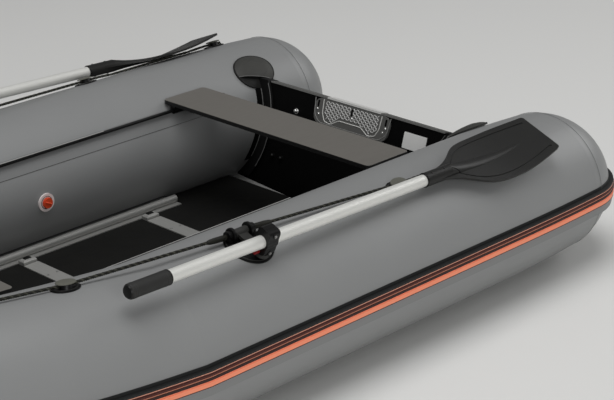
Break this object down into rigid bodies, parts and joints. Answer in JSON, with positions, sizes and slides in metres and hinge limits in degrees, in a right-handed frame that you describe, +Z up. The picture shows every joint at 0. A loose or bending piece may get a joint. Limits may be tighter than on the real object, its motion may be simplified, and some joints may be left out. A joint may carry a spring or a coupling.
{
  "type": "inflatable boat",
  "caption": "Inflatable motor boat: two side tubes joined at the bow, stern transom, panel floor with crossbars, sliding bench seats and two oars lying in swivelling rowlocks.",
  "frame": {"origin": "middle of the length and beam, at the level the tubes' undersides rest on", "axes": "+X towards the bow, +Y to port, +Z up"},
  "size_m": [3.3, 1.576, 0.5432],
  "materials": {
    "hull_fabric": "matt",
    "strake": "satin",
    "stripe": "matt",
    "dark_fabric": "matt",
    "board": "matt",
    "trim_grey": "satin",
    "bright_metal": "brushed",
    "plate": "textured",
    "label": "satin",
    "dark_grey_plastic": "matt",
    "floor": "matt",
    "aluminium": "anodised",
    "black_plastic": "satin",
    "bench": "coated",
    "rope": "twisted",
    "valve_cap": "satin",
    "red_plastic": "gloss"
  },
  "bodies": {
    "hull": {"main_tube_port": "hull_fabric", "main_tube_starboard": "hull_fabric", "bow_tube": "hull_fabric", "rub_strake": "strake", "strake_stripes": "stripe", "bottom_skin": "dark_fabric", "keel_tube": "dark_fabric", "keel_guard": "strake", "transom_board": "board", "transom_cap": "trim_grey", "transom_strip": "bright_metal", "motor_plate_inner": "plate", "motor_plate_outer": "plate", "label_plate": "label", "transom_holders": "dark_grey_plastic", "floor_panels": "floor", "floor_crossbars": "aluminium", "floor_stringers": "aluminium", "stringer_blocks": "black_plastic", "seat_rails": "dark_fabric", "front_bench_board": "bench", "front_bench_tracks": "black_plastic", "rowlock_bases": "black_plastic", "rowlock_bushes": "bright_metal", "life_line": "rope", "rope_holders": "dark_grey_plastic", "valve_flanges": "black_plastic", "valve_caps": "valve_cap", "bow_handle": "black_plastic", "tow_patches": "dark_grey_plastic", "tow_rings": "bright_metal", "transom_eyes": "bright_metal"},
    "aft_bench": {"aft_bench_board": "bench", "aft_bench_tracks": "black_plastic"},
    "rocker_port": {"rowlock_rocker_port": "black_plastic"},
    "oar_port": {"rowlock_collar_port": "black_plastic", "rowlock_cap_port": "black_plastic", "rowlock_latch_port": "red_plastic", "rowlock_screws_port": "bright_metal", "oar_shaft_port": "aluminium", "oar_grip_port": "dark_grey_plastic", "oar_blade_port": "dark_grey_plastic"},
    "rocker_starboard": {"rowlock_rocker_starboard": "black_plastic"},
    "oar_starboard": {"rowlock_collar_starboard": "black_plastic", "rowlock_cap_starboard": "black_plastic", "rowlock_latch_starboard": "red_plastic", "rowlock_screws_starboard": "bright_metal", "oar_shaft_starboard": "aluminium", "oar_grip_starboard": "dark_grey_plastic", "oar_blade_starboard": "dark_grey_plastic"}
  },
  "joints": [
    {"name": "aft_bench_slide", "type": "slide", "parent": "hull", "child": "aft_bench", "axis": [1, 0, 0], "range_m": [0, 0.25]},
    {"name": "rowlock_port_rock", "type": "hinge", "parent": "hull", "child": "rocker_port", "pos_m": [-0.242, 0.59788, 0.43405], "axis": [1, 0, 0], "range_deg": [0, 32]},
    {"name": "rowlock_port_swivel", "type": "hinge", "parent": "rocker_port", "child": "oar_port", "pos_m": [-0.242, 0.68994, 0.441], "axis": [0.0334, -0.3741, -0.9268], "range_deg": [0, 135]},
    {"name": "rowlock_starboard_rock", "type": "hinge", "parent": "hull", "child": "rocker_starboard", "pos_m": [-0.242, -0.59788, 0.43405], "axis": [-1, 0, 0], "range_deg": [0, 32]},
    {"name": "rowlock_starboard_swivel", "type": "hinge", "parent": "rocker_starboard", "child": "oar_starboard", "pos_m": [-0.242, -0.68994, 0.441], "axis": [-0.0334, -0.3741, 0.9268], "range_deg": [0, 135]}
  ]
}
